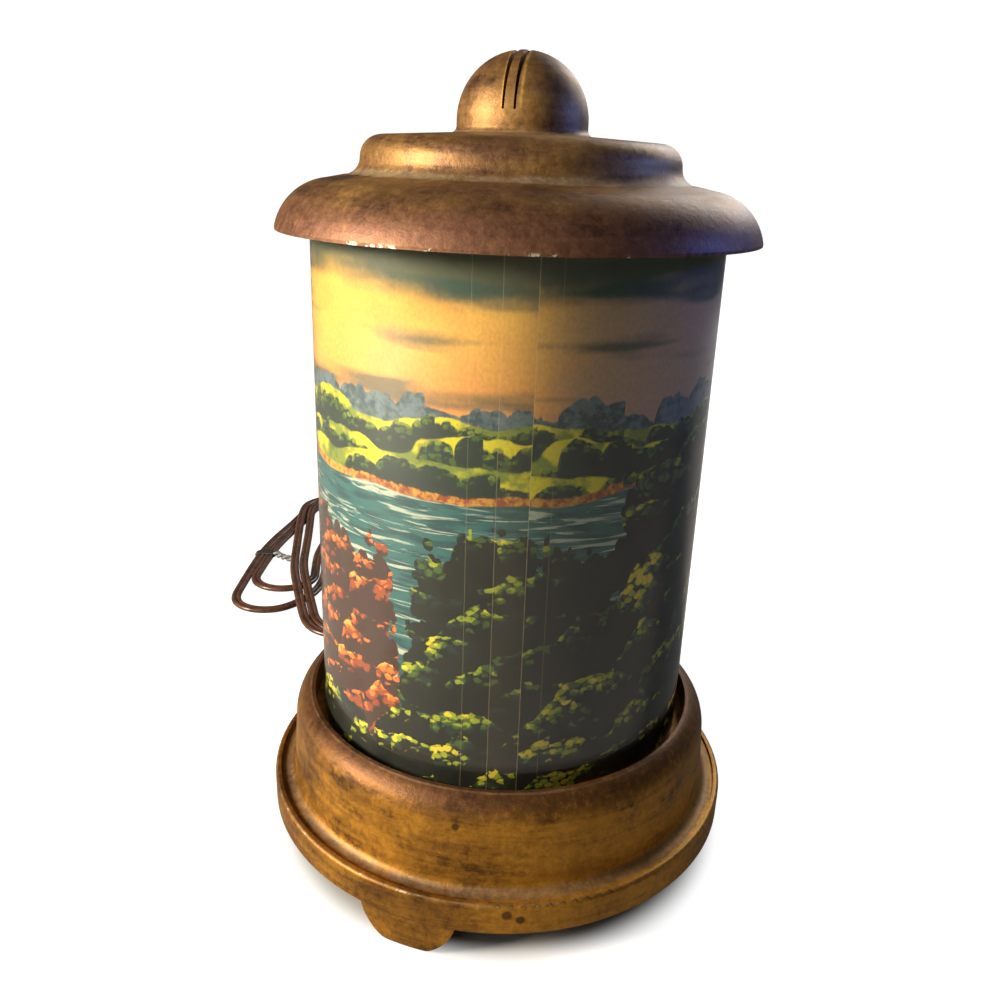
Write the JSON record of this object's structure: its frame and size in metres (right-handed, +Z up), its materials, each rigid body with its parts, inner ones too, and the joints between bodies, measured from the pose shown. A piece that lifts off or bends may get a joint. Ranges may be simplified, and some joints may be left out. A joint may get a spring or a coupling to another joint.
{
  "type": "rotating motion lamp",
  "caption": "Round table lamp with cast base and vented lid, a glass cylinder round a printed scene, and a sleeve inside that the bulb's heat turns.",
  "frame": {"origin": "on the lamp's axis, at the surface its feet stand on", "axes": "+Z up along the lamp's axis; the viewer stands at -Y and the cord leaves at +Y"},
  "size_m": [0.2265, 0.3862, 0.2546],
  "materials": {
    "base_bronze": "antique gold and bronze paint over cast metal, worn on the edges",
    "lid_bronze": "antique bronze paint over cast metal, gold on the high edges",
    "zinc_steel": "zinc plated, satin",
    "tool_steel": "hardened, polished",
    "lamp_brass": "pressed, lightly tarnished",
    "fibre_board": "grey-brown fibre",
    "porcelain": "white glazed",
    "cap_aluminium": "bright",
    "solder": "dull",
    "bulb_glass": "clear",
    "clear_glass": "clear, polished",
    "printed_sheet": "translucent printed sheet, landscape in teal, gold and green",
    "seam_tape": "aged clear tape",
    "rotor_sheet": "translucent printed sheet with wavy lines",
    "fan_aluminium": "thin bare sheet",
    "brown_rubber": "moulded, satin",
    "cord_brown": "brown vinyl twin cord",
    "plug_brown": "moulded brown plug"
  },
  "bodies": {
    "base": {"base_casting": "base_bronze", "socket_bracket": "zinc_steel", "bracket_screws": "zinc_steel", "lamp_pipe": "zinc_steel", "pipe_locknuts": "zinc_steel", "socket_cap": "lamp_brass", "socket_shell": "lamp_brass", "shell_liner": "fibre_board", "socket_insulator": "porcelain", "screw_shell": "lamp_brass", "contact_tongue": "lamp_brass", "bulb_screw_cap": "cap_aluminium", "bulb_contact": "solder", "bulb_envelope": "bulb_glass", "bulb_stem": "bulb_glass", "support_wires": "zinc_steel", "filament": "zinc_steel", "pivot_bridge": "zinc_steel", "bridge_nuts": "zinc_steel", "needle_pin": "tool_steel", "cord_bushing": "brown_rubber", "inner_lead": "cord_brown", "cord_lead": "cord_brown", "cord_hank": "cord_brown", "plug_body": "plug_brown", "plug_blades": "lamp_brass"},
    "shade": {"glass_cylinder": "clear_glass", "scene_sleeve": "printed_sheet", "seam_tape": "seam_tape"},
    "lid": {"lid_casting": "lid_bronze"},
    "rotor": {"rotor_sleeve": "rotor_sheet", "fan_disc": "fan_aluminium", "bearing_cup": "lamp_brass", "rotor_hoop": "zinc_steel", "sleeve_eyelets": "lamp_brass"}
  },
  "joints": [
    {"name": "rotor_spin", "type": "hinge", "parent": "base", "child": "rotor", "pos_m": [0, 0, 0.19], "axis": [0, 0, 1], "continuous": true},
    {"name": "shade_lift", "type": "slide", "parent": "base", "child": "shade", "axis": [0, 0, 1], "range_m": [0, 0.165]},
    {"name": "lid_lift", "type": "slide", "parent": "shade", "child": "lid", "axis": [0, 0, 1], "range_m": [0, 0.06]}
  ]
}
